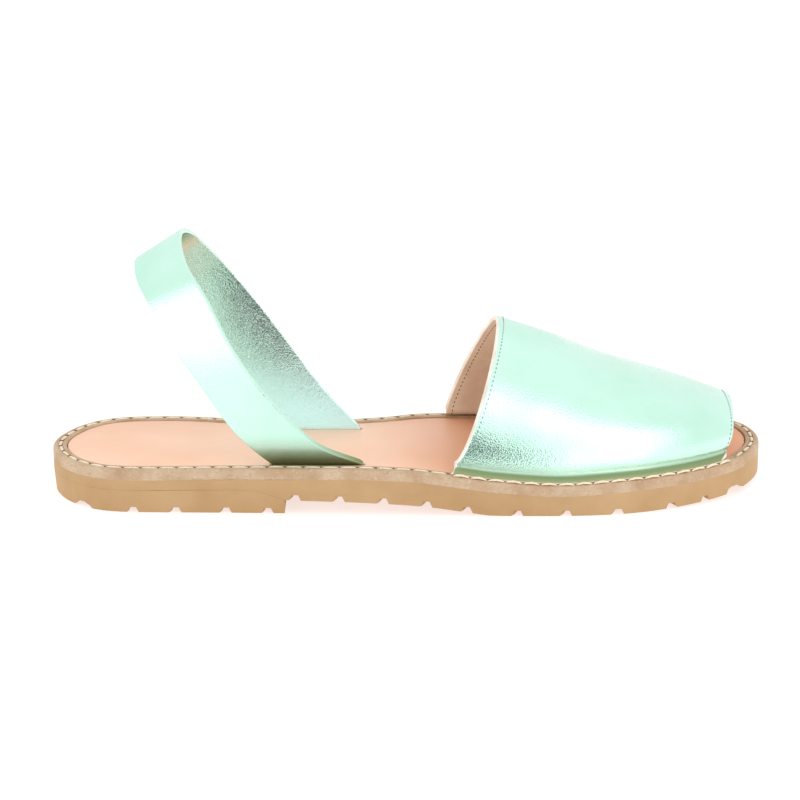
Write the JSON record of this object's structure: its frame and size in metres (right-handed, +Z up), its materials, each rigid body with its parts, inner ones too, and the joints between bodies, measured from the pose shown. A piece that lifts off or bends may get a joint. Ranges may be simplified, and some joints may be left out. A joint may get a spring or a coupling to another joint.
{
  "type": "open-toe slingback sandal",
  "caption": "Flat leather sandal with an open-toe mint metallic vamp, a slingback heel strap, a stitched leather welt and a low-heeled tan rubber sole",
  "frame": {"origin": "middle of the sandal's bounding box, on the floor it stands on", "axes": "+X from the heel to the toe, +Y to the big-toe side, +Z up"},
  "size_m": [0.253, 0.0881, 0.0929],
  "materials": {
    "outsole_rubber": "matte",
    "heel_rubber": "matte",
    "welt_leather": "raw, unfinished cut edge",
    "insole_leather": "smooth, satin",
    "vamp_foil": "metallic foil",
    "strap_foil": "metallic foil"
  },
  "bodies": {
    "root": {"outsole": "outsole_rubber", "heel": "heel_rubber", "midsole": "welt_leather", "insole": "insole_leather", "vamp": "vamp_foil", "heel_strap": "strap_foil"}
  },
  "joints": []
}
